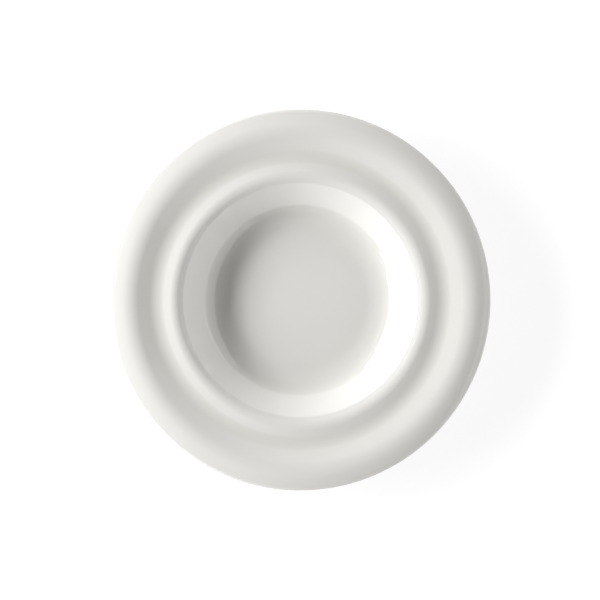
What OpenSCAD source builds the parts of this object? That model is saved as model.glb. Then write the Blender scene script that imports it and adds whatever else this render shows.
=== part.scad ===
// Pasta bowl in glazed porcelain: a coved well inside a broad rim of two soft swells.
// Lengths are in millimetres, +Z is up, and the origin is on the table under the middle of the floor.
// Heights and runs of the well and the rim are those of the finished, glazed face.

/* [Well] */
// Diameter of the flat middle of the floor
floor_d = 94; // [70:1:115]
// Radius of the gentle dish around the flat floor
dish_r = 44; // [24:4:60]
// Slope that the dish reaches where the cove starts, in degrees
dish_slope = 13.5; // [3:0.5:18]
// Radius of the cove between the floor and the wall
cove_r = 25.5; // [12:0.5:36]
// Radius of the soft edge around the well's mouth, at the top of the wall
mouth_r = 3; // [1:0.25:6]
// Run from the edge of the flat floor out to the inner swell's crest
wall_run = 42.75; // [38:0.25:52]
// Depth of the well, from the floor up to the inner swell's crest
well_depth = 23.25; // [18:0.25:34]

/* [Rim] */
// Run of the shoulder, from the mouth's edge out to the inner swell's crest
shoulder_run = 6.25; // [5:0.25:9]
// Slope of the shoulder, in degrees
shoulder_slope = 26; // [16:0.5:32]
// Radius of the inner swell's crest
crest_r = 10; // [9:0.5:14]
// Run from the inner swell's crest out to the dip
fall_run = 11.25; // [9:0.25:18]
// Drop from the inner swell's crest to the dip
fall = 1.95; // [0.5:0.05:3]
// Radius of the dip between the two swells
dip_r = 19; // [8:1:30]
// Run from the dip out to the outer swell's crest
rise_run = 19.75; // [15:0.25:30]
// Rise from the dip to the outer swell's crest
rise = 4.5; // [1:0.1:7]
// Radius of the outer swell's crest
swell_r = 20; // [10:1:30]
// Run from the outer swell's crest out to the widest line of the edge
lip_run = 14.25; // [10:0.25:22]
// Slope at which the outer crest's round ends and the lip starts, in degrees
swell_slope = 14; // [6:0.5:18]
// Further slope that the lip gains up to the round of the edge, in degrees
lip_turn = 7.5; // [2:0.5:30]

/* [Wall and glaze] */
// Thickness of the clay body
wall_t = 4.6; // [3:0.1:6]
// Thickness of each coat of glaze
glaze_t = 0.4; // [0.2:0.05:0.7]

/* [Foot ring] */
// Height of the base above the table inside the ring
foot_h = 4; // [3:0.25:8]
// How far the ring's outer corner lies outside the start of the cove
foot_out = 1.5; // [0.5:0.5:8]
// Width of the ring at the table
foot_w = 5.5; // [3.5:0.25:9]
// Lean of the ring's flanks, in degrees
foot_draft = 12; // [0:1:25]
// Radius on both corners of the standing face
foot_round = 1; // [0.3:0.1:2]
// Fillet radius where the ring meets the base
foot_fillet = 2; // [0.75:0.25:4]
// Strip of each flank left bare above its rounded corner
bare_band = 0.6; // [0:0.1:1.4]

/* [Hidden] */

// Colours of the fired clay and of the glaze
clay_colour = [0.90, 0.88, 0.84];
glaze_colour = [0.90, 0.90, 0.89];

// Sides of the turned solids, the step along an arc in degrees, and the least distance of two points
$fn = 180;
arc_step = 3;
point_gap = 0.005;

// Thickness from glaze to glaze, and depth of the body's two faces under the glazed face
shell_t = wall_t + 2 * glaze_t;
body_face = glaze_t;
body_back = glaze_t + wall_t;

// Radius and height of the flat floor's edge, the inner crest, the dip and the outer crest
floor_at = [floor_d / 2, foot_h + body_back];
crest_at = floor_at + [wall_run, well_depth];
dip_at = crest_at + [fall_run, -fall];
swell_at = dip_at + [rise_run, rise];

// Rim: the share of its three radii that the shoulder, the fall and the rise have room for. Straight
// flanks touch the rounds where there is room to spare.
shoulder_room = shoulder_run / (crest_r * sin(shoulder_slope));
fall_room = level_radii(fall_run, fall) / (crest_r + dip_r);
rise_room = level_radii(rise_run, rise) / (dip_r + swell_r);
rim_share = min(1, shoulder_room, fall_room, rise_room);
crest = crest_r * rim_share;
dip = dip_r * rim_share;
swell = swell_r * rim_share;
fall_slope = tangent_slope(fall_run, fall, crest + dip);
rise_slope = tangent_slope(rise_run, rise, dip + swell);
crest_centre = crest_at - [0, crest];
swell_centre = swell_at - [0, swell];

// Lip: one arc from the outer crest's round to the round of the edge
edge_r = shell_t / 2;
lip_slope = swell_slope + lip_turn;
lip_arc_run = lip_run - swell * sin(swell_slope) - edge_r * (1 - sin(lip_slope));
lip_arc = lip_arc_run / (sin(lip_slope) - sin(swell_slope));
lip_centre = swell_centre + (swell - lip_arc) * up(-swell_slope);

// Shoulder: a straight slope from the crest's round down to the start of the mouth's soft edge
shoulder_top = crest_centre + crest * up(shoulder_slope);
shoulder_drop = (shoulder_run - crest * sin(shoulder_slope)) * tan(shoulder_slope);
mouth_at = [crest_at[0] - shoulder_run, shoulder_top[1] - shoulder_drop];

// Wall: where the dish ends, and the share of the two radii that the wall has room for between there
// and the mouth. Where they take all of it, the cove and the mouth's edge meet with no straight wall.
cove_at = floor_at + dish_r * [sin(dish_slope), 1 - cos(dish_slope)];
wall_span = mouth_at - cove_at;
radii_span = -cove_r * up(dish_slope) - mouth_r * up(shoulder_slope);
radii_sum = cove_r + mouth_r;
span_sq = wall_span * wall_span;
span_part = wall_span * radii_span;
radii_part = radii_span * radii_span - radii_sum * radii_sum;
wall_room = span_sq / (sqrt(span_part * span_part - radii_part * span_sq) - span_part);
wall_share = min(1, wall_room);
cove = cove_r * wall_share;
mouth = mouth_r * wall_share;

// The straight wall touches both circles, so the line between their centres gives its slope
cove_centre = cove_at + cove * up(dish_slope);
mouth_centre = mouth_at - mouth * up(shoulder_slope);
centres = mouth_centre - cove_centre;
wall_slope = atan2(centres[1], centres[0]) + asin(min(1, (cove + mouth) / norm(centres)));

// Brim: the one round from the wall to the crest that the back follows behind the mouth and the shoulder
wall_top = mouth_centre + mouth * up(wall_slope);
brim_run = crest_at[0] - wall_top[0] - (crest_at[1] - wall_top[1]) / tan(wall_slope);
brim = brim_run / tan(wall_slope / 2);

// Foot ring: sharp corners at the table, and the height at which the glaze stops on its flanks
foot_outer = cove_at[0] + foot_out;
foot_inner = foot_outer - foot_w;
corner_in = foot_round * (1 - sin(foot_draft)) / cos(foot_draft);
bare_h = foot_round * (1 - sin(foot_draft)) + bare_band;
flank_slope = 90 - foot_draft;
outer_out = [cos(foot_draft), -sin(foot_draft)];
outer_up = [sin(foot_draft), cos(foot_draft)];
inner_out = [-cos(foot_draft), -sin(foot_draft)];
bare_step = bare_h * tan(foot_draft);
outer_stop = [foot_outer + bare_step, bare_h];
inner_stop = [foot_inner - bare_step, bare_h];

// Fillet inside the ring, limited to the glazed height of its flank
recess_fillet = min(foot_fillet, (foot_h - bare_h) / (1 - sin(foot_draft)));
recess_centre_in = (recess_fillet + (foot_h - recess_fillet) * sin(foot_draft)) / cos(foot_draft);
recess_centre = [foot_inner - recess_centre_in, foot_h - recess_fillet];

// Fillet outside the ring, tangent to its flank and to the cove's back
cove_reach = cove + body_back + foot_fillet;
from_cove = [foot_outer, 0] + foot_fillet * outer_out - cove_centre;
along_flank = from_cove * outer_up;
fillet_up = -along_flank - sqrt(along_flank * along_flank - from_cove * from_cove + cove_reach * cove_reach);
fillet_from_cove = from_cove + fillet_up * outer_up;
fillet_slope = atan2(fillet_from_cove[0], -fillet_from_cove[1]);

// Sum of the radii of two rounds that meet with no straight, each level at its end of a run and a lift
function level_radii(run, lift) = (run * run + lift * lift) / (2 * lift);

// Slope of the straight that touches two such rounds of a lesser sum of radii
function tangent_slope(run, lift, radii) =
    atan2(run, radii - lift) - acos(min(1, radii / norm([run, radii - lift])));

// Upward normal of a line with a slope
function up(slope) = [-sin(slope), cos(slope)];

// An arc is [centre, radius, first slope, last slope]. The radius holds at the glazed face and is
// negative where the centre lies above the line. The points follow the arc at a depth under that face.
function arc_points(arc, depth) =
    let (turn = arc[3] - arc[2], steps = max(1, ceil(abs(turn) / arc_step)))
    [for (i = [0 : steps]) arc[0] + (arc[1] - depth) * up(arc[2] + turn * i / steps)];

function line_points(arcs, depth) = [for (arc = arcs) each arc_points(arc, depth)];

function reversed(points) = [for (i = [len(points) - 1 : -1 : 0]) points[i]];

// The points without those that repeat the one before
function distinct(points) =
    [for (i = [0 : len(points) - 1]) if (i == 0 || norm(points[i] - points[i - 1]) > point_gap) points[i]];

// Arcs of the face, from the floor outwards
floor_line = [
    [floor_at + [0, dish_r], -dish_r, 0, dish_slope],
    [cove_centre, -cove, dish_slope, wall_slope]
];
mouth_line = [
    [mouth_centre, mouth, wall_slope, shoulder_slope],
    [crest_centre, crest, shoulder_slope, -fall_slope]
];
rim_line = [
    [dip_at + [0, dip], -dip, -fall_slope, rise_slope],
    [swell_centre, swell, rise_slope, -swell_slope],
    [lip_centre, lip_arc, -swell_slope, -lip_slope]
];
face_line = concat(floor_line, mouth_line, rim_line);

// The round edge, in two halves that meet at its widest line
edge_centre = lip_centre + (lip_arc - edge_r) * up(-lip_slope);
edge_face_half = [edge_centre, edge_r, -lip_slope, -90];
edge_back_half = [edge_centre, edge_r, -90, -180 - lip_slope];

// Arcs of the back, from the recess outwards. Those of the foot ring hold at the depth of the body's back.
recess_line = [[recess_centre, recess_fillet + body_back, 0, -flank_slope]];
standing_line = [
    [[foot_inner + corner_in, foot_round], body_back - foot_round, -flank_slope, 0],
    [[foot_outer - corner_in, foot_round], body_back - foot_round, 0, flank_slope]
];
back_line = concat(
    [[cove_centre + fillet_from_cove, foot_fillet + body_back, flank_slope, fillet_slope]],
    [[cove_centre, -cove, fillet_slope, wall_slope]],
    [[crest_at - [0, brim], brim, wall_slope, 0]],
    [[crest_centre, crest, 0, -fall_slope]],
    rim_line
);

// Section of the clay body: along the face, round the edge, and back under the rim and the foot ring
body_section = concat(
    [[0, floor_at[1] - body_face]],
    line_points(face_line, body_face),
    line_points([edge_face_half, edge_back_half], body_face),
    reversed(line_points(concat(recess_line, standing_line, back_line), body_back)),
    [[0, foot_h]]
);

// Section of the coat on the face, out to the widest line of the edge
face_section = concat(
    [[0, floor_at[1]]],
    line_points(concat(face_line, [edge_face_half]), 0),
    reversed(line_points(concat(face_line, [edge_face_half]), body_face)),
    [[0, floor_at[1] - body_face]]
);

// Section of the coat on the back, from the widest line of the edge to the foot ring's outer flank
back_section = concat(
    line_points([edge_back_half], 0),
    reversed(line_points(back_line, shell_t)),
    [outer_stop + glaze_t * outer_out, outer_stop],
    line_points(back_line, body_back),
    reversed(line_points([edge_back_half], body_face))
);

// Section of the coat inside the foot ring
recess_section = concat(
    [[0, foot_h - glaze_t]],
    line_points(recess_line, shell_t),
    [inner_stop + glaze_t * inner_out, inner_stop],
    reversed(line_points(recess_line, body_back)),
    [[0, foot_h]]
);

// A section of the bowl turned about its middle
module turned(section) {
    rotate_extrude() polygon(distinct(section));
}

// Fired clay: floor, wall, both swells, edge and foot ring in one piece
module porcelain_body() {
    color(clay_colour) turned(body_section);
}

// Coat on the eating face
module face_glaze() {
    color(glaze_colour) turned(face_section);
}

// Coat on the underside
module back_glaze() {
    color(glaze_colour) turned(back_section);
}

// Coat on the base inside the foot ring
module recess_glaze() {
    color(glaze_colour) turned(recess_section);
}

porcelain_body();
face_glaze();
back_glaze();
recess_glaze();
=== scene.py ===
"""Pasta bowl in white porcelain: smooth turned pieces, their glaze and clay, and a small studio."""

import logging
import math
from dataclasses import dataclass, field
from enum import Enum
from typing import NamedTuple

import bmesh
import bpy
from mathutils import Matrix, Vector


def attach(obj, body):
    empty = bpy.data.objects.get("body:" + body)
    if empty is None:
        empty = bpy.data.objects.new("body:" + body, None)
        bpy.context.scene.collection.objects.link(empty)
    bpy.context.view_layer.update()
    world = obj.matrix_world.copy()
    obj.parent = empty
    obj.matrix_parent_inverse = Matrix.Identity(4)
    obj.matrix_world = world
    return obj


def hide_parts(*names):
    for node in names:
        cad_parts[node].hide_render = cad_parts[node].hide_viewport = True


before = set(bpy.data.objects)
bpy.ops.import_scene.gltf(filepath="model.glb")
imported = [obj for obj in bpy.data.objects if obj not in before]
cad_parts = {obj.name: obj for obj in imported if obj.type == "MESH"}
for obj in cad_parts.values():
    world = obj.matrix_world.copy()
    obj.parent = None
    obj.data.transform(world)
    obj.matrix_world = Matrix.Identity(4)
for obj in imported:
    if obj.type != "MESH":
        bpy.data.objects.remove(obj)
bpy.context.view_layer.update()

LOG = logging.getLogger("pasta_bowl")
MM = 0.001
CUBIC_CM = 1e6
BODY = "root"
# Radius in millimetres of a hollow that is fully darkened by pooled glaze and painted shade, or of
# a crest on which glaze thins fully
POOL_AND_SHADE_RADIUS = 9.0
# Points of a section that lie closer than this, in millimetres, are one
POINT_GAP = 0.004
# Places of a Mix node's sockets for numbers and for colours
MIX_NUMBERS, MIX_NUMBER_RESULT = (2, 3), 0
MIX_COLOURS, MIX_COLOUR_RESULT = (6, 7), 2

Colour = tuple[float, float, float]
Pair = tuple[float, float]


class Piece(Enum):
    """CAD nodes that the turned pieces stand for."""

    CLAY_BODY = "porcelain_body"
    FACE_COAT = "face_glaze"
    BACK_COAT = "back_glaze"
    RECESS_COAT = "recess_glaze"


class Slot(Enum):
    """Material slots of the record."""

    CLAY = "clay"
    GLAZE = "glaze"


class Spacing(Enum):
    """Largest turn in degrees and largest step in millimetres between two points of a section."""

    SEEN = (2.0, 1.6)
    COVERED = (6.0, 8.0)


class SectionPoint(NamedTuple):
    """Point of a section: radius and height in millimetres, and how much glaze gathers and shade is
    painted there.
    """

    r: float
    z: float
    pool: float


def up(slope: float) -> Pair:
    """Upward normal of a line with a slope in degrees."""
    turn = math.radians(slope)
    return -math.sin(turn), math.cos(turn)


def shifted(at: Pair, step: Pair, times: float = 1.0) -> Pair:
    """A point moved by a step, taken a number of times."""
    return at[0] + times * step[0], at[1] + times * step[1]


def tangent_slope(run: float, lift: float, radii: float) -> float:
    """Slope of the straight flank that touches two rounds which are level at its far ends.

    Args:
        run: Distance across, from the crest of one round to the bottom of the other.
        lift: Height between them.
        radii: Sum of the two radii.

    Returns:
        The slope in degrees.
    """
    reach = math.hypot(run, radii - lift)
    return math.degrees(math.atan2(run, radii - lift) - math.acos(min(1.0, radii / reach)))


@dataclass(frozen=True)
class Arc:
    """Arc of the bowl's section.

    The radius holds at the glazed face and is negative where the centre lies above the line.
    Slopes are in degrees and rise outwards.
    """

    centre: Pair
    radius: float
    first: float
    last: float

    def points(self, depth: float, spacing: Spacing, side: int = 1) -> list[SectionPoint]:
        """Points along the arc at a depth under the glazed face.

        Args:
            depth: Distance under the glazed face, in millimetres.
            spacing: How close the points lie.
            side: 1 where the surface looks up, -1 where it looks down.

        Returns:
            The points from the first slope to the last.
        """
        reach = self.radius - depth
        turn = self.last - self.first
        most_turn, most_step = spacing.value
        length = abs(reach * math.radians(turn))
        steps = max(1, math.ceil(abs(turn) / most_turn), math.ceil(length / most_step))
        # Hollows get a positive share of pooled glaze and painted shade, crests a negative share
        # where the glaze thins
        pool = max(-1.0, min(1.0, -side * POOL_AND_SHADE_RADIUS / reach)) if reach else 0.0
        made = []
        for i in range(steps + 1):
            at = shifted(self.centre, up(self.first + turn * i / steps), reach)
            made.append(SectionPoint(at[0], at[1], pool))
        return made


@dataclass(frozen=True)
class BowlSection:
    """Half section of the bowl, with the sizes of the CAD source in millimetres and degrees."""

    floor_d: float = 94.0
    dish_r: float = 44.0
    dish_slope: float = 13.5
    cove_r: float = 25.5
    mouth_r: float = 3.0
    wall_run: float = 42.75
    well_depth: float = 23.25
    shoulder_run: float = 6.25
    shoulder_slope: float = 26.0
    crest_r: float = 10.0
    fall_run: float = 11.25
    fall: float = 1.95
    dip_r: float = 19.0
    rise_run: float = 19.75
    rise: float = 4.5
    swell_r: float = 20.0
    lip_run: float = 14.25
    swell_slope: float = 14.0
    lip_turn: float = 7.5
    wall_t: float = 4.6
    glaze_t: float = 0.4
    foot_h: float = 4.0
    foot_out: float = 1.5
    foot_w: float = 5.5
    foot_draft: float = 12.0
    foot_round: float = 1.0
    foot_fillet: float = 2.0
    bare_band: float = 0.6
    floor_step: float = 6.5

    @property
    def shell_t(self) -> float:
        """Thickness from glaze to glaze."""
        return self.wall_t + 2 * self.glaze_t

    @property
    def body_back(self) -> float:
        """Depth of the clay's back under the glazed face."""
        return self.glaze_t + self.wall_t

    @property
    def floor_at(self) -> Pair:
        """Edge of the flat floor."""
        return self.floor_d / 2, self.foot_h + self.body_back

    @property
    def crest_at(self) -> Pair:
        """Crest of the inner swell."""
        return shifted(self.floor_at, (self.wall_run, self.well_depth))

    @property
    def dip_at(self) -> Pair:
        """Bottom of the dip between the two swells."""
        return shifted(self.crest_at, (self.fall_run, -self.fall))

    @property
    def swell_at(self) -> Pair:
        """Crest of the outer swell."""
        return shifted(self.dip_at, (self.rise_run, self.rise))

    @property
    def cove_at(self) -> Pair:
        """End of the gentle dish, where the cove starts."""
        turn = math.radians(self.dish_slope)
        return shifted(self.floor_at, (math.sin(turn), 1 - math.cos(turn)), self.dish_r)

    @property
    def cove_centre(self) -> Pair:
        """Centre of the cove."""
        return shifted(self.cove_at, up(self.dish_slope), self.cove_r)

    @property
    def crest_centre(self) -> Pair:
        """Centre of the round on the inner swell's crest."""
        return shifted(self.crest_at, (0.0, -self.crest_r))

    @property
    def mouth_centre(self) -> Pair:
        """Centre of the soft edge around the well's mouth, at the foot of the straight shoulder.

        Returns:
            The centre's radius and height.
        """
        lean = math.radians(self.shoulder_slope)
        straight = self.shoulder_run - self.crest_r * math.sin(lean)
        top = shifted(self.crest_centre, up(self.shoulder_slope), self.crest_r)
        edge = shifted(top, (-1.0, -math.tan(lean)), straight)
        return shifted(edge, up(self.shoulder_slope), -self.mouth_r)

    @property
    def wall_slope(self) -> float:
        """Slope of the straight wall, which touches the cove and the soft edge.

        Returns:
            The slope in degrees.
        """
        run = self.mouth_centre[0] - self.cove_centre[0]
        lift = self.mouth_centre[1] - self.cove_centre[1]
        share = min(1.0, (self.cove_r + self.mouth_r) / math.hypot(run, lift))
        return math.degrees(math.atan2(lift, run) + math.asin(share))

    @property
    def brim_r(self) -> float:
        """Radius of the one round between the wall and the crest that the back follows.

        Returns:
            The radius in millimetres.
        """
        lean = math.radians(self.wall_slope)
        wall_top = shifted(self.mouth_centre, up(self.wall_slope), self.mouth_r)
        run = self.crest_at[0] - wall_top[0] - (self.crest_at[1] - wall_top[1]) / math.tan(lean)
        return run / math.tan(lean / 2)

    @property
    def edge_r(self) -> float:
        """Radius of the round edge."""
        return self.shell_t / 2

    @property
    def lip_slope(self) -> float:
        """Slope of the lip where the round edge starts."""
        return self.swell_slope + self.lip_turn

    @property
    def lip_arc(self) -> float:
        """Radius of the lip that falls from the outer swell's round to the edge.

        Returns:
            The radius in millimetres.
        """
        first = math.sin(math.radians(self.swell_slope))
        last = math.sin(math.radians(self.lip_slope))
        run = self.lip_run - self.swell_r * first - self.edge_r * (1 - last)
        return run / (last - first)

    @property
    def fall_slope(self) -> float:
        """Slope of the straight flank from the inner crest down to the dip."""
        return tangent_slope(self.fall_run, self.fall, self.crest_r + self.dip_r)

    @property
    def rise_slope(self) -> float:
        """Slope of the straight flank from the dip up to the outer crest."""
        return tangent_slope(self.rise_run, self.rise, self.dip_r + self.swell_r)

    @property
    def swell_centre(self) -> Pair:
        """Centre of the round on the outer swell's crest."""
        return shifted(self.swell_at, (0.0, -self.swell_r))

    @property
    def lip_centre(self) -> Pair:
        """Centre of the lip's arc."""
        return shifted(self.swell_centre, up(-self.swell_slope), self.swell_r - self.lip_arc)

    @property
    def foot_outer(self) -> float:
        """Radius of the foot ring's outer corner at the table."""
        return self.cove_at[0] + self.foot_out

    @property
    def foot_inner(self) -> float:
        """Radius of the foot ring's inner corner at the table."""
        return self.foot_outer - self.foot_w

    @property
    def bare_h(self) -> float:
        """Height at which the glaze stops on the foot ring's flanks."""
        return self.foot_round * (1 - math.sin(math.radians(self.foot_draft))) + self.bare_band

    @property
    def foot_slope(self) -> float:
        """Slope of the foot ring's flanks."""
        return 90.0 - self.foot_draft

    def floor_line(self) -> list[Arc]:
        """Arcs of the dish and the cove."""
        dish = Arc(shifted(self.floor_at, (0.0, self.dish_r)), -self.dish_r, 0.0, self.dish_slope)
        return [dish, Arc(self.cove_centre, -self.cove_r, self.dish_slope, self.wall_slope)]

    def mouth_line(self) -> list[Arc]:
        """Arcs of the soft edge around the well's mouth and of the inner swell's crest."""
        return [
            Arc(self.mouth_centre, self.mouth_r, self.wall_slope, self.shoulder_slope),
            Arc(self.crest_centre, self.crest_r, self.shoulder_slope, -self.fall_slope),
        ]

    def rim_line(self) -> list[Arc]:
        """Arcs of the dip, the outer swell's crest and the lip.

        Returns:
            The three arcs, outwards.
        """
        dip_centre = shifted(self.dip_at, (0.0, self.dip_r))
        return [
            Arc(dip_centre, -self.dip_r, -self.fall_slope, self.rise_slope),
            Arc(self.swell_centre, self.swell_r, self.rise_slope, -self.swell_slope),
            Arc(self.lip_centre, self.lip_arc, -self.swell_slope, -self.lip_slope),
        ]

    def edge_halves(self) -> tuple[Arc, Arc]:
        """Upper and lower half of the round edge, which meet at its widest line.

        Returns:
            The two halves.
        """
        centre = shifted(self.lip_centre, up(-self.lip_slope), self.lip_arc - self.edge_r)
        upper = Arc(centre, self.edge_r, -self.lip_slope, -90.0)
        return upper, Arc(centre, self.edge_r, -90.0, -180.0 - self.lip_slope)

    def recess_line(self) -> list[Arc]:
        """Fillet between the base and the foot ring's inner flank.

        Returns:
            A list of the one arc.
        """
        lean = math.radians(self.foot_draft)
        room = (self.foot_h - self.bare_h) / (1 - math.sin(lean))
        fillet = min(self.foot_fillet, room)
        inwards = (fillet + (self.foot_h - fillet) * math.sin(lean)) / math.cos(lean)
        centre = (self.foot_inner - inwards, self.foot_h - fillet)
        return [Arc(centre, fillet + self.body_back, 0.0, -self.foot_slope)]

    def standing_line(self) -> list[Arc]:
        """Rounded corners of the standing face, at the depth of the clay's back.

        Returns:
            The inner and the outer corner.
        """
        lean = math.radians(self.foot_draft)
        inset = self.foot_round * (1 - math.sin(lean)) / math.cos(lean)
        radius = self.body_back - self.foot_round
        return [
            Arc((self.foot_inner + inset, self.foot_round), radius, -self.foot_slope, 0.0),
            Arc((self.foot_outer - inset, self.foot_round), radius, 0.0, self.foot_slope),
        ]

    def back_line(self) -> list[Arc]:
        """Arcs of the back, from the foot ring's outer flank to the round edge.

        Returns:
            The arcs, outwards.
        """
        lean = math.radians(self.foot_draft)
        along = (math.sin(lean), math.cos(lean))
        reach = self.cove_r + self.body_back + self.foot_fillet
        start = shifted((self.foot_outer, 0.0), (math.cos(lean), -math.sin(lean)), self.foot_fillet)
        start = shifted(start, self.cove_centre, -1.0)
        slide = start[0] * along[0] + start[1] * along[1]
        rise = -slide - math.sqrt(slide**2 - start[0] ** 2 - start[1] ** 2 + reach**2)
        offset = shifted(start, along, rise)
        slope = math.degrees(math.atan2(offset[0], -offset[1]))
        fillet_centre = shifted(self.cove_centre, offset)
        fillet = Arc(fillet_centre, self.foot_fillet + self.body_back, self.foot_slope, slope)
        cove = Arc(self.cove_centre, -self.cove_r, slope, self.wall_slope)
        brim = Arc(shifted(self.crest_at, (0.0, -self.brim_r)), self.brim_r, self.wall_slope, 0.0)
        crest = Arc(self.crest_centre, self.crest_r, 0.0, -self.fall_slope)
        return [fillet, cove, brim, crest, *self.rim_line()]

    def disc(self, z: float, spacing: Spacing) -> list[SectionPoint]:
        """Points along the flat middle, from the axis outwards to the last ring before its edge.

        Args:
            z: Height of the flat middle, in millimetres.
            spacing: How close the points lie.

        Returns:
            The points, or the one on the axis where the middle is covered.
        """
        if spacing is Spacing.COVERED:
            return [SectionPoint(0.0, z, 0.0)]
        rings = int(self.floor_d / 2 / self.floor_step)
        return [SectionPoint(self.floor_step * i, z, 0.0) for i in range(rings)]

    def flank_stop(self, outer: bool, depth: float) -> SectionPoint:
        """End of a coat on a flank of the foot ring.

        Args:
            outer: True for the outer flank, False for the inner one.
            depth: Distance above the clay, in millimetres.

        Returns:
            The point on the flank, or above it.
        """
        lean = math.radians(self.foot_draft)
        side = 1.0 if outer else -1.0
        foot = self.foot_outer if outer else self.foot_inner
        r = foot + side * (self.bare_h * math.tan(lean) + depth * math.cos(lean))
        return SectionPoint(r, self.bare_h - depth * math.sin(lean), -1.0)

    def outline(self, piece: Piece) -> list[SectionPoint]:
        """Outline of a piece: outwards along its upper side and back along its lower side.

        Args:
            piece: The piece whose outline is wanted.

        Returns:
            The points, without those that repeat the one before.
        """
        seen, covered = Spacing.SEEN, Spacing.COVERED
        skin, back = self.glaze_t, self.body_back
        upper, lower = self.edge_halves()
        face = [*self.floor_line(), *self.mouth_line(), *self.rim_line()]
        floor_z = self.floor_at[1]
        if piece is Piece.CLAY_BODY:
            made = self.disc(floor_z - skin, covered)
            made += run_along([*face, upper, lower], skin, covered)
            made += run_along(self.back_line(), back, covered)[::-1]
            made += run_along(self.standing_line(), back, seen, -1)[::-1]
            made += run_along(self.recess_line(), back, covered)[::-1]
            made += [SectionPoint(0.0, self.foot_h, 0.0)]
        elif piece is Piece.FACE_COAT:
            made = self.disc(floor_z, seen) + run_along([*face, upper], 0.0, seen)
            made += run_along([*face, upper], skin, covered)[::-1]
            made += self.disc(floor_z - skin, covered)
        elif piece is Piece.BACK_COAT:
            made = run_along([lower], 0.0, seen)
            made += run_along(self.back_line(), self.shell_t, seen, -1)[::-1]
            made += [self.flank_stop(True, skin), self.flank_stop(True, 0.0)]
            made += run_along(self.back_line(), back, covered)
            made += run_along([lower], skin, covered)[::-1]
            made += made[:1]
        else:
            made = [SectionPoint(0.0, self.foot_h, 0.0)]
            made += run_along(self.recess_line(), back, covered)
            made += [self.flank_stop(False, 0.0), self.flank_stop(False, skin)]
            made += run_along(self.recess_line(), self.shell_t, seen, -1)[::-1]
            made += self.disc(self.foot_h - skin, seen)[::-1]
        return distinct(made)


def run_along(arcs: list[Arc], depth: float, spacing: Spacing, side: int = 1) -> list[SectionPoint]:
    """Points along a chain of arcs at a depth under the glazed face.

    Args:
        arcs: The arcs, from the axis outwards.
        depth: Distance under the glazed face, in millimetres.
        spacing: How close the points lie.
        side: 1 where the surface looks up, -1 where it looks down.

    Returns:
        The points of all the arcs in order.
    """
    return [point for arc in arcs for point in arc.points(depth, spacing, side)]


def distinct(points: list[SectionPoint]) -> list[SectionPoint]:
    """The points without those that repeat the one before.

    Args:
        points: Points of a section, in order.

    Returns:
        The points that are left.
    """
    kept = points[:1]
    for point in points[1:]:
        if math.hypot(point.r - kept[-1].r, point.z - kept[-1].z) > POINT_GAP:
            kept.append(point)
    return kept


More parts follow.
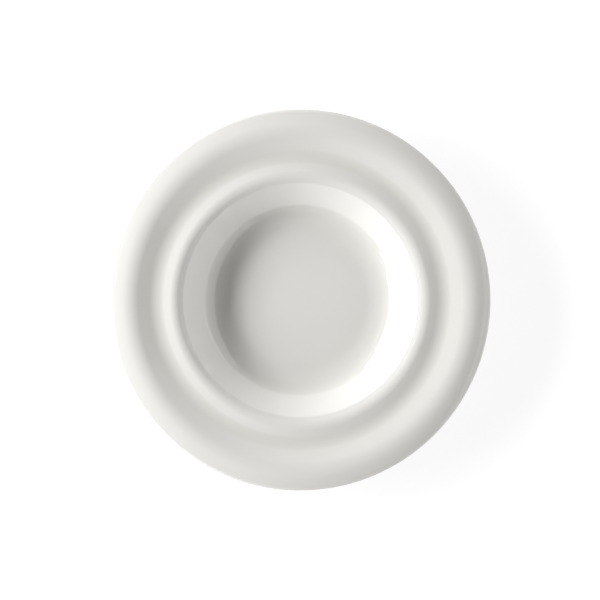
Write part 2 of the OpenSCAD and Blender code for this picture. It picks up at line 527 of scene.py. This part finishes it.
class TurningTree:
    """Geometry Nodes tree that turns a section about the bowl's axis into a closed shell."""

    # Attribute of pooled glaze and painted shade in hollows, negative on crests where the glaze
    # thins
    POOL_AND_SHADE = "pool"

    def __init__(self) -> None:
        """Builds the tree with its named inputs."""
        self.tree = bpy.data.node_groups.new("turn_section", "GeometryNodeTree")
        self.inputs: dict[str, str] = {}
        self._socket("Section", "NodeSocketGeometry")
        self._socket("Segments", "NodeSocketInt")
        self._socket("Weld Distance", "NodeSocketFloat")
        self._socket("Sharp Angle", "NodeSocketFloat")
        self._socket("Pool And Shade Spread", "NodeSocketInt")
        self._socket("Finish", "NodeSocketMaterial")
        self.tree.interface.new_socket("Piece", in_out="OUTPUT", socket_type="NodeSocketGeometry")
        self._build()

    def _socket(self, name: str, kind: str) -> None:
        """Adds a named input and keeps its identifier."""
        made = self.tree.interface.new_socket(name, in_out="INPUT", socket_type=kind)
        self.inputs[name] = made.identifier

    def _node(self, kind: str, **settings: object) -> bpy.types.Node:
        """Adds a node with its settings.

        Args:
            kind: Type of the node.
            settings: Values of its properties by name.

        Returns:
            The node.
        """
        made = self.tree.nodes.new(kind)
        for name, value in settings.items():
            setattr(made, name, value)
        return made

    def _maths(self, operation: str, *values: object, whole: bool = False) -> bpy.types.NodeSocket:
        """Adds a maths node.

        Args:
            operation: Name of the operation.
            values: Sockets or numbers, in the order of the node's inputs.
            whole: True for whole numbers.

        Returns:
            The node's result.
        """
        kind = "FunctionNodeIntegerMath" if whole else "ShaderNodeMath"
        made = self._node(kind, operation=operation)
        for target, value in zip(made.inputs, values):
            if isinstance(value, bpy.types.NodeSocket):
                self.tree.links.new(value, target)
            else:
                target.default_value = value
        return made.outputs[0]

    def _build(self) -> None:
        """Lays a grid of section points, bends it round the axis and welds its seam and poles."""
        link = self.tree.links.new
        given = self._node("NodeGroupInput").outputs
        count = self._node("GeometryNodeAttributeDomainSize", component="MESH")
        link(given["Section"], count.inputs["Geometry"])
        rows = count.outputs["Point Count"]
        grid = self._node("GeometryNodeMeshGrid")
        link(self._maths("ADD", given["Segments"], 1, whole=True), grid.inputs["Vertices X"])
        link(rows, grid.inputs["Vertices Y"])

        index = self._node("GeometryNodeInputIndex").outputs["Index"]
        row = self._maths("MODULO", index, rows, whole=True)
        ring = self._maths("DIVIDE_FLOOR", index, rows, whole=True)
        position = self._node("GeometryNodeInputPosition").outputs["Position"]
        place = self._sample("FLOAT_VECTOR", given, position, row)
        # Share of pooled glaze and painted shade, blurred along the section
        pool = self._node("GeometryNodeInputNamedAttribute", data_type="FLOAT")
        pool.inputs["Name"].default_value = self.POOL_AND_SHADE
        spread = self._node("GeometryNodeBlurAttribute", data_type="FLOAT")
        link(pool.outputs["Attribute"], spread.inputs["Value"])
        link(given["Pool And Shade Spread"], spread.inputs["Iterations"])
        pool_and_shade_amount = self._sample("FLOAT", given, spread.outputs["Value"], row)

        turn = self._maths("MULTIPLY", self._maths("DIVIDE", ring, given["Segments"]), math.tau)
        parts = self._node("ShaderNodeSeparateXYZ")
        link(place, parts.inputs[0])
        bent = self._node("ShaderNodeCombineXYZ")
        reach = parts.outputs["X"]
        link(self._maths("MULTIPLY", reach, self._maths("COSINE", turn)), bent.inputs["X"])
        link(self._maths("MULTIPLY", reach, self._maths("SINE", turn)), bent.inputs["Y"])
        link(parts.outputs["Z"], bent.inputs["Z"])

        keep = self._node("GeometryNodeStoreNamedAttribute", data_type="FLOAT", domain="POINT")
        keep.inputs["Name"].default_value = self.POOL_AND_SHADE
        link(grid.outputs["Mesh"], keep.inputs["Geometry"])
        link(pool_and_shade_amount, keep.inputs["Value"])
        move = self._node("GeometryNodeSetPosition")
        link(keep.outputs["Geometry"], move.inputs["Geometry"])
        link(bent.outputs["Vector"], move.inputs["Position"])
        flip = self._node("GeometryNodeFlipFaces")
        link(move.outputs["Geometry"], flip.inputs["Mesh"])
        weld = self._node("GeometryNodeMergeByDistance")
        link(flip.outputs["Mesh"], weld.inputs["Geometry"])
        link(given["Weld Distance"], weld.inputs["Distance"])
        self._finish_surface(weld.outputs["Geometry"], given)

    def _sample(
        self,
        kind: str,
        given: bpy.types.NodeOutputs,
        value: bpy.types.NodeSocket,
        row: bpy.types.NodeSocket,
    ) -> bpy.types.NodeSocket:
        """Reads a value of the section at a row.

        Args:
            kind: Data type of the value.
            given: The tree's inputs.
            value: Field to read.
            row: Number of the section's point.

        Returns:
            The value at that point.
        """
        made = self._node("GeometryNodeSampleIndex", data_type=kind, domain="POINT")
        self.tree.links.new(given["Section"], made.inputs["Geometry"])
        self.tree.links.new(value, made.inputs["Value"])
        self.tree.links.new(row, made.inputs["Index"])
        return made.outputs["Value"]

    def _finish_surface(self, shell: bpy.types.NodeSocket, given: bpy.types.NodeOutputs) -> None:
        """Shades the shell smooth between its corners and gives it its finish.

        Args:
            shell: The closed shell.
            given: The tree's inputs.
        """
        link = self.tree.links.new
        smooth = self._node("GeometryNodeSetShadeSmooth", domain="FACE")
        link(shell, smooth.inputs["Geometry"])
        angle = self._node("GeometryNodeInputMeshEdgeAngle")
        corner = self._maths("GREATER_THAN", angle.outputs["Unsigned Angle"], given["Sharp Angle"])
        sharp = self._node("GeometryNodeSetShadeSmooth", domain="EDGE")
        sharp.inputs["Shade Smooth"].default_value = False
        link(smooth.outputs["Geometry"], sharp.inputs["Geometry"])
        link(corner, sharp.inputs["Selection"])
        real = self._node("GeometryNodeRealizeInstances")
        link(sharp.outputs["Geometry"], real.inputs["Geometry"])
        finish = self._node("GeometryNodeSetMaterial")
        link(real.outputs["Geometry"], finish.inputs["Geometry"])
        link(given["Finish"], finish.inputs["Material"])
        link(finish.outputs["Geometry"], self._node("NodeGroupOutput").inputs["Piece"])

    def turn(
        self, name: str, outline: list[SectionPoint], values: dict[str, object]
    ) -> bpy.types.Object:
        """Turns an outline into a plain mesh object.

        Args:
            name: Name of the object.
            outline: Points of the section, in millimetres.
            values: Values of the tree's inputs by name.

        Returns:
            The object, at the origin and without modifiers.
        """
        line = bpy.data.meshes.new(name + "_section")
        corners = [(p.r * MM, 0.0, p.z * MM) for p in outline]
        line.from_pydata(corners, [(i, i + 1) for i in range(len(corners) - 1)], [])
        pool = line.attributes.new(self.POOL_AND_SHADE, "FLOAT", "POINT")
        pool.data.foreach_set("value", [p.pool for p in outline])
        made = bpy.data.objects.new(name, line)
        bpy.context.scene.collection.objects.link(made)
        turning = made.modifiers.new("turning", "NODES")
        turning.node_group = self.tree
        for label, value in values.items():
            turning[self.inputs[label]] = value
        graph = bpy.context.evaluated_depsgraph_get()
        shell = bpy.data.meshes.new_from_object(made.evaluated_get(graph))
        made.modifiers.remove(turning)
        made.data = shell
        shell.name = name
        bpy.data.meshes.remove(line)
        return made


class KilnMarks:
    """Shader node group for what the kiln leaves: soft clouds, specks and a fine skin."""

    INPUTS = {
        "Cloud Scale": 12.0,
        "Speck Scale": 400.0,
        "Speck Share": 0.03,
        "Skin Scale": 600.0,
        "Swell Scale": 40.0,
        "Swell Share": 0.5,
    }
    OUTPUTS = ("Cloud", "Speck", "Skin")
    CLOUD_DETAIL = 3.0
    SKIN_DETAIL = 1.0
    SWELL_DETAIL = 0.0
    SPECK_CORE = 0.10
    SPECK_EDGE = 0.26

    def __init__(self) -> None:
        """Builds the group with its named inputs and outputs."""
        self.group = bpy.data.node_groups.new("kiln_marks", "ShaderNodeTree")
        face = self.group.interface
        face.new_socket("Vector", in_out="INPUT", socket_type="NodeSocketVector")
        for name, value in self.INPUTS.items():
            made = face.new_socket(name, in_out="INPUT", socket_type="NodeSocketFloat")
            made.default_value = value
        for name in self.OUTPUTS:
            face.new_socket(name, in_out="OUTPUT", socket_type="NodeSocketFloat")
        self._build()

    def _noise(
        self, given: bpy.types.NodeOutputs, scale: str, detail: float
    ) -> bpy.types.NodeSocket:
        """Adds a noise.

        Args:
            given: The group's inputs.
            scale: Name of the input that sets its scale.
            detail: Its detail.

        Returns:
            The noise's value.
        """
        made = self.group.nodes.new("ShaderNodeTexNoise")
        made.inputs["Detail"].default_value = detail
        self.group.links.new(given["Vector"], made.inputs["Vector"])
        self.group.links.new(given[scale], made.inputs["Scale"])
        return made.outputs["Fac"]

    def _specks(self, given: bpy.types.NodeOutputs) -> bpy.types.NodeSocket:
        """Adds round specks in a share of scattered cells.

        Args:
            given: The group's inputs.

        Returns:
            The mask of the specks.
        """
        nodes, link = self.group.nodes, self.group.links.new
        cells = nodes.new("ShaderNodeTexVoronoi")
        link(given["Vector"], cells.inputs["Vector"])
        link(given["Speck Scale"], cells.inputs["Scale"])
        pick = nodes.new("ShaderNodeSeparateColor")
        link(cells.outputs["Color"], pick.inputs["Color"])
        chosen = nodes.new("ShaderNodeMath")
        chosen.operation = "LESS_THAN"
        link(pick.outputs["Red"], chosen.inputs[0])
        link(given["Speck Share"], chosen.inputs[1])
        dot = nodes.new("ShaderNodeMapRange")
        dot.inputs["From Min"].default_value = self.SPECK_CORE
        dot.inputs["From Max"].default_value = self.SPECK_EDGE
        dot.inputs["To Min"].default_value = 1.0
        dot.inputs["To Max"].default_value = 0.0
        link(cells.outputs["Distance"], dot.inputs["Value"])
        speck = nodes.new("ShaderNodeMath")
        speck.operation = "MULTIPLY"
        link(chosen.outputs[0], speck.inputs[0])
        link(dot.outputs["Result"], speck.inputs[1])
        return speck.outputs[0]

    def _build(self) -> None:
        """Makes the clouds and the skin from noise, and the specks from scattered cells."""
        nodes, link = self.group.nodes, self.group.links.new
        given = nodes.new("NodeGroupInput").outputs
        result = nodes.new("NodeGroupOutput").inputs
        link(self._noise(given, "Cloud Scale", self.CLOUD_DETAIL), result["Cloud"])
        link(self._specks(given), result["Speck"])
        skin = nodes.new("ShaderNodeMix")
        skin.data_type = "FLOAT"
        fine, broad = MIX_NUMBERS
        link(given["Swell Share"], skin.inputs["Factor"])
        link(self._noise(given, "Skin Scale", self.SKIN_DETAIL), skin.inputs[fine])
        link(self._noise(given, "Swell Scale", self.SWELL_DETAIL), skin.inputs[broad])
        link(skin.outputs[MIX_NUMBER_RESULT], result["Skin"])

    def place(
        self, material: bpy.types.Material, values: dict[str, float]
    ) -> bpy.types.NodeOutputs:
        """Puts the group into a material, on Object coordinates.

        Args:
            material: The material that shows the marks.
            values: Values of the group's inputs by name.

        Returns:
            The group's outputs.
        """
        nodes, link = material.node_tree.nodes, material.node_tree.links.new
        made = nodes.new("ShaderNodeGroup")
        made.node_tree = self.group
        for name, value in values.items():
            made.inputs[name].default_value = value
        link(nodes.new("ShaderNodeTexCoord").outputs["Object"], made.inputs["Vector"])
        return made.outputs


def blank_material(name: str) -> tuple[bpy.types.Material, bpy.types.Node]:
    """A new node material and its Principled shader.

    Args:
        name: Name of the material.

    Returns:
        The material and the shader.
    """
    made = bpy.data.materials.new(name)
    made.use_nodes = True
    return made, made.node_tree.nodes["Principled BSDF"]


def tinted(
    material: bpy.types.Material, factor: bpy.types.NodeSocket, first: object, second: Colour
) -> bpy.types.NodeSocket:
    """Mixes two colours by a factor.

    Args:
        material: The material that holds the mix.
        factor: Share of the second colour.
        first: Socket or colour at a factor of 0.
        second: Colour at a factor of 1.

    Returns:
        The mixed colour.
    """
    made = material.node_tree.nodes.new("ShaderNodeMix")
    made.data_type = "RGBA"
    start, end = (made.inputs[i] for i in MIX_COLOURS)
    material.node_tree.links.new(factor, made.inputs["Factor"])
    if isinstance(first, bpy.types.NodeSocket):
        material.node_tree.links.new(first, start)
    else:
        start.default_value = (*first, 1.0)
    end.default_value = (*second, 1.0)
    return made.outputs[MIX_COLOUR_RESULT]


def ranged(
    material: bpy.types.Material, value: bpy.types.NodeSocket, source: Pair, target: Pair
) -> bpy.types.NodeSocket:
    """Maps a value from one range to another.

    Args:
        material: The material that holds the node.
        value: The value to map.
        source: Range of the value.
        target: Range of the result.

    Returns:
        The mapped value.
    """
    made = material.node_tree.nodes.new("ShaderNodeMapRange")
    material.node_tree.links.new(value, made.inputs["Value"])
    made.inputs["From Min"].default_value, made.inputs["From Max"].default_value = source
    made.inputs["To Min"].default_value, made.inputs["To Max"].default_value = target
    return made.outputs["Result"]


def bumped(
    material: bpy.types.Material, height: bpy.types.NodeSocket, strength: float, depth: float
) -> None:
    """Gives a material's shader a bump.

    Args:
        material: The material that holds the node.
        height: Height of the surface, from 0 to 1.
        strength: Strength of the bump.
        depth: Its depth in metres.
    """
    nodes, link = material.node_tree.nodes, material.node_tree.links.new
    made = nodes.new("ShaderNodeBump")
    made.inputs["Strength"].default_value = strength
    made.inputs["Distance"].default_value = depth
    link(height, made.inputs["Height"])
    link(made.outputs["Normal"], nodes["Principled BSDF"].inputs["Normal"])


@dataclass(frozen=True)
class GlossGlaze:
    """White gloss glaze, darker in hollows with pooled glaze and painted shade, and a little
    thinner on crests and edges.
    """

    white: Colour = (0.795, 0.785, 0.757)
    cloud_tint: Colour = (0.780, 0.771, 0.741)
    # Darker, warmer colour of hollows: pooled glaze and painted shade
    pooled_and_shaded: Colour = (0.725, 0.702, 0.645)
    thin: Colour = (0.800, 0.790, 0.764)
    speck: Colour = (0.62, 0.60, 0.55)
    cloud_scale: float = 14.0
    cloud_range: Pair = (0.35, 0.65)
    pool_and_shade_share: float = 0.8
    speck_scale: float = 260.0
    speck_share: float = 0.002
    speck_depth: float = 0.2
    roughness: Pair = (0.03, 0.05)
    roughness_range: Pair = (0.3, 0.7)
    ior: float = 1.58
    bump: float = 0.006
    bump_depth: float = 0.0004

    def material(self, marks: KilnMarks) -> bpy.types.Material:
        """Builds the glaze's material.

        Args:
            marks: The group of kiln marks.

        Returns:
            The material.
        """
        made, shader = blank_material("gloss_glaze")
        nodes, link = made.node_tree.nodes, made.node_tree.links.new
        kiln = marks.place(
            made,
            {
                "Cloud Scale": self.cloud_scale,
                "Speck Scale": self.speck_scale,
                "Speck Share": self.speck_share,
            },
        )
        cloud = ranged(made, kiln["Cloud"], self.cloud_range, (0.0, 1.0))
        base = tinted(made, cloud, self.white, self.cloud_tint)
        # Hollows turn towards the pooled colour, which is pooled glaze and painted shade
        pool = nodes.new("ShaderNodeAttribute")
        pool.attribute_name = TurningTree.POOL_AND_SHADE
        pool_and_shade_amount = ranged(made, pool.outputs["Fac"], (0.0, 1.0), (0.0, self.pool_and_shade_share))
        base = tinted(made, pool_and_shade_amount, base, self.pooled_and_shaded)
        thinned = ranged(made, pool.outputs["Fac"], (0.0, -1.0), (0.0, self.pool_and_shade_share))
        base = tinted(made, thinned, base, self.thin)
        specks = ranged(made, kiln["Speck"], (0.0, 1.0), (0.0, self.speck_depth))
        base = tinted(made, specks, base, self.speck)
        link(base, shader.inputs["Base Color"])
        gloss = ranged(made, kiln["Cloud"], self.roughness_range, self.roughness)
        link(gloss, shader.inputs["Roughness"])
        shader.inputs["IOR"].default_value = self.ior
        bumped(made, kiln["Skin"], self.bump, self.bump_depth)
        return made


@dataclass(frozen=True)
class BareClay:
    """Bare fired porcelain of the standing face: fine, matt and a little warm."""

    pale: Colour = (0.79, 0.765, 0.705)
    cloud_tint: Colour = (0.72, 0.69, 0.625)
    speck: Colour = (0.42, 0.37, 0.30)
    cloud_scale: float = 45.0
    cloud_range: Pair = (0.35, 0.7)
    speck_scale: float = 900.0
    speck_share: float = 0.06
    speck_depth: float = 0.6
    skin_scale: float = 2600.0
    swell_share: float = 0.2
    roughness: Pair = (0.62, 0.82)
    roughness_range: Pair = (0.3, 0.7)
    ior: float = 1.5
    bump: float = 0.35
    bump_depth: float = 0.0003

    def material(self, marks: KilnMarks) -> bpy.types.Material:
        """Builds the clay's material.

        Args:
            marks: The group of kiln marks.

        Returns:
            The material.
        """
        made, shader = blank_material("bare_clay")
        link = made.node_tree.links.new
        kiln = marks.place(
            made,
            {
                "Cloud Scale": self.cloud_scale,
                "Speck Scale": self.speck_scale,
                "Speck Share": self.speck_share,
                "Skin Scale": self.skin_scale,
                "Swell Share": self.swell_share,
            },
        )
        cloud = ranged(made, kiln["Cloud"], self.cloud_range, (0.0, 1.0))
        base = tinted(made, cloud, self.pale, self.cloud_tint)
        specks = ranged(made, kiln["Speck"], (0.0, 1.0), (0.0, self.speck_depth))
        base = tinted(made, specks, base, self.speck)
        link(base, shader.inputs["Base Color"])
        matt = ranged(made, kiln["Cloud"], self.roughness_range, self.roughness)
        link(matt, shader.inputs["Roughness"])
        shader.inputs["IOR"].default_value = self.ior
        bumped(made, kiln["Skin"], self.bump, self.bump_depth)
        return made


@dataclass
class PastaBowl:
    """The bowl: a clay body and its three coats of glaze, all turned from one section."""

    section: BowlSection = field(default_factory=BowlSection)
    glaze: GlossGlaze = field(default_factory=GlossGlaze)
    clay: BareClay = field(default_factory=BareClay)
    segments: int = 256
    weld: float = 1e-6
    sharp_angle: float = 32.0
    # Blur steps for the pooled glaze and painted shade
    pool_and_shade_spread: int = 6
    pieces: dict[Piece, bpy.types.Object] = field(default_factory=dict)

    def build(self, turning: TurningTree, marks: KilnMarks) -> None:
        """Turns the four pieces in their finishes.

        Args:
            turning: The tree that turns a section.
            marks: The group of kiln marks.
        """
        glaze, clay = self.glaze.material(marks), self.clay.material(marks)
        for piece in Piece:
            values = {
                "Segments": self.segments,
                "Weld Distance": self.weld,
                "Sharp Angle": math.radians(self.sharp_angle),
                "Pool And Shade Spread": self.pool_and_shade_spread,
                "Finish": clay if piece is Piece.CLAY_BODY else glaze,
            }
            made = turning.turn("turned_" + piece.value, self.section.outline(piece), values)
            self.pieces[piece] = made
            held = volume(made) * CUBIC_CM
            LOG.info("%s: %d faces, %.1f cm3", made.name, len(made.data.polygons), held)

    def dress(self) -> None:
        """Puts each piece in the place of its CAD node."""
        for piece, made in self.pieces.items():
            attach(made, BODY)
            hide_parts(piece.value)


def volume(piece: bpy.types.Object) -> float:
    """Signed volume of a closed mesh.

    Args:
        piece: The object that holds the mesh.

    Returns:
        The volume in cubic metres, positive where the faces point outwards.
    """
    shell = bmesh.new()
    shell.from_mesh(piece.data)
    found = shell.calc_volume(signed=True)
    shell.free()
    return found


@dataclass(frozen=True)
class Softbox:
    """Rectangular lamp that looks at a point of the bowl's axis.

    Azimuth is counted from +X towards +Y. The lamp reaches from a lower to an upper elevation
    above the table and by a half width to either side, all in degrees as seen from the bowl.
    Brightness is that of its face, where 1 is the white of the image.
    """

    name: str
    azimuth: float
    elevations: Pair
    half_width: float
    brightness: float
    distance: float = 3.0
    aim_z: float = 0.03

    @property
    def size(self) -> Pair:
        """Size of the lamp's face.

        Returns:
            Width and height in metres.
        """
        lower, upper = self.elevations
        across, upwards = math.radians(self.half_width), math.radians((upper - lower) / 2)
        return 2 * self.distance * math.tan(across), 2 * self.distance * math.tan(upwards)

    def build(self) -> None:
        """Makes the lamp, unseen by the camera itself."""
        lamp = bpy.data.lights.new(self.name, "AREA")
        lamp.shape = "RECTANGLE"
        lamp.size, lamp.size_y = self.size
        lamp.energy = math.pi * lamp.size * lamp.size_y * self.brightness
        made = bpy.data.objects.new(self.name, lamp)
        a, e = math.radians(self.azimuth), math.radians(sum(self.elevations) / 2)
        way = Vector((math.cos(a) * math.cos(e), math.sin(a) * math.cos(e), math.sin(e)))
        made.location = Vector((0.0, 0.0, self.aim_z)) + way * self.distance
        made.rotation_euler = way.to_track_quat("Z", "Y").to_euler()
        made.visible_camera = False
        bpy.context.scene.collection.objects.link(made)


@dataclass
class Studio:
    """White table, softboxes, a ring of low cards, dim room and a camera straight above."""

    floor_r: float = 4.0
    floor_sides: int = 96
    floor_drop: float = 0.0002
    floor_white: float = 0.86
    floor_shade: float = 0.22
    floor_bounce: Colour = (0.78, 0.78, 0.77)
    room: float = 0.02
    lens_mm: float = 127.0
    sensor_mm: float = 36.0
    sight_m: float = 20.0
    frame_px: float = 600.0
    edge_px: float = 190.7
    aim_z: float = 0.031
    bowl_r: float = 0.135
    softboxes: tuple[Softbox, ...] = (
        Softbox("key_softbox", 172.0, (24.0, 32.5), 22.0, 25.6),
        Softbox("key_strip", 172.0, (18.0, 25.0), 36.0, 12.7),
        Softbox("fill_card", -7.0, (9.0, 47.0), 46.0, 1.24),
        Softbox("side_card_back", 85.0, (12.0, 35.0), 40.0, 0.5),
        Softbox("side_card_front", 263.0, (12.0, 35.0), 40.0, 0.5),
        Softbox("top_card_back", 70.0, (56.0, 68.0), 25.0, 0.25),
        Softbox("top_card_front", -75.0, (56.0, 68.0), 25.0, 0.25),
    )
    card_names: tuple[str, ...] = (
        "low_card_right",
        "low_card_back",
        "low_card_back_left",
        "low_card_front",
        "low_card_front_left",
    )
    card_azimuths: tuple[float, ...] = (-7.0, 51.0, 109.0, -65.0, -123.0)
    card_elevations: Pair = (3.0, 12.0)
    card_half_width: float = 29.0
    card_brightness: float = 1.7

    def build(self) -> None:
        """Makes the floor, the lamps, the room and the camera."""
        self.build_floor()
        for softbox in (*self.softboxes, *self.low_cards()):
            softbox.build()
            LOG.info("lamp %s", softbox.name)
        self.build_room()
        self.build_camera()

    def low_cards(self) -> list[Softbox]:
        """Low white cards that stand edge to edge around the right of the table.

        Returns:
            The cards as lamps.
        """
        spots = zip(self.card_names, self.card_azimuths)
        return [
            Softbox(name, azimuth, self.card_elevations, self.card_half_width, self.card_brightness)
            for name, azimuth in spots
        ]

    def build_floor(self) -> None:
        """Makes the white table, which keeps a faint shadow of the bowl."""
        disc = bmesh.new()
        bmesh.ops.create_circle(disc, cap_ends=True, segments=self.floor_sides, radius=self.floor_r)
        mesh = bpy.data.meshes.new("table_top")
        disc.to_mesh(mesh)
        disc.free()
        floor = bpy.data.objects.new("table_top", mesh)
        bpy.context.scene.collection.objects.link(floor)
        floor.location.z = -self.floor_drop
        mesh.materials.append(self.floor_material())

    def floor_material(self) -> bpy.types.Material:
        """White to the camera and to reflections, pale for the rest, and clear from below.

        Returns:
            The table's material.
        """
        made, shader = blank_material("table_white")
        tree = made.node_tree
        nodes, link = tree.nodes, tree.links.new
        nodes.remove(shader)
        bounce = nodes.new("ShaderNodeBsdfDiffuse")
        bounce.inputs["Color"].default_value = (*self.floor_bounce, 1.0)
        shade = nodes.new("ShaderNodeBsdfDiffuse")
        shade.inputs["Color"].default_value = (*[self.floor_shade] * 3, 1.0)
        white = nodes.new("ShaderNodeEmission")
        white.inputs["Strength"].default_value = self.floor_white
        shown = nodes.new("ShaderNodeAddShader")
        link(shade.outputs[0], shown.inputs[0])
        link(white.outputs[0], shown.inputs[1])
        pick = nodes.new("ShaderNodeMixShader")
        link(seen_directly(tree), pick.inputs["Fac"])
        link(bounce.outputs[0], pick.inputs[1])
        link(shown.outputs[0], pick.inputs[2])
        sided = nodes.new("ShaderNodeMixShader")
        link(nodes.new("ShaderNodeNewGeometry").outputs["Backfacing"], sided.inputs["Fac"])
        link(pick.outputs[0], sided.inputs[1])
        link(nodes.new("ShaderNodeBsdfTransparent").outputs[0], sided.inputs[2])
        link(sided.outputs[0], nodes["Material Output"].inputs["Surface"])
        return made

    def build_room(self) -> None:
        """Makes the room: white behind the table for the camera, dim for everything else."""
        world = bpy.data.worlds.new("studio_room")
        bpy.context.scene.world = world
        world.use_nodes = True
        tree = world.node_tree
        nodes, link = tree.nodes, tree.links.new
        dim = nodes["Background"]
        dim.inputs["Color"].default_value = (1.0, 1.0, 1.0, 1.0)
        dim.inputs["Strength"].default_value = self.room
        white = nodes.new("ShaderNodeBackground")
        white.inputs["Strength"].default_value = 1.0
        white.inputs["Color"].default_value = (1.0, 1.0, 1.0, 1.0)
        pick = nodes.new("ShaderNodeMixShader")
        link(nodes.new("ShaderNodeLightPath").outputs["Is Camera Ray"], pick.inputs["Fac"])
        link(dim.outputs[0], pick.inputs[1])
        link(white.outputs[0], pick.inputs[2])
        link(pick.outputs[0], nodes["World Output"].inputs["Surface"])

    def build_camera(self) -> None:
        """Makes the camera straight above, with the bowl's edge at its radius in the frame."""
        lens = bpy.data.cameras.new("overhead_camera")
        lens.lens, lens.sensor_width = self.lens_mm, self.sensor_mm
        lens.clip_end = self.sight_m
        made = bpy.data.objects.new("overhead_camera", lens)
        px_per_m = self.edge_px / self.bowl_r
        height = self.lens_mm * self.frame_px / self.sensor_mm / px_per_m
        made.location = (0.0, 0.0, self.aim_z + height)
        bpy.context.scene.collection.objects.link(made)
        bpy.context.scene.camera = made
        bpy.context.scene.view_settings.view_transform = "Standard"


def seen_directly(tree: bpy.types.NodeTree) -> bpy.types.NodeSocket:
    """Tells rays from the camera or from a reflection from the rest.

    Args:
        tree: The node tree that asks.

    Returns:
        A socket that is 1 for those rays and 0 for the rest.
    """
    path = tree.nodes.new("ShaderNodeLightPath")
    either = tree.nodes.new("ShaderNodeMath")
    either.operation = "MAXIMUM"
    tree.links.new(path.outputs["Is Camera Ray"], either.inputs[0])
    tree.links.new(path.outputs["Is Glossy Ray"], either.inputs[1])
    return either.outputs[0]


def main() -> None:
    """Builds the bowl and its studio."""
    logging.basicConfig(level=logging.INFO, format="%(name)s: %(message)s")
    Studio().build()
    bowl = PastaBowl()
    bowl.build(TurningTree(), KilnMarks())
    bowl.dress()


if __name__ == "__main__":
    main()
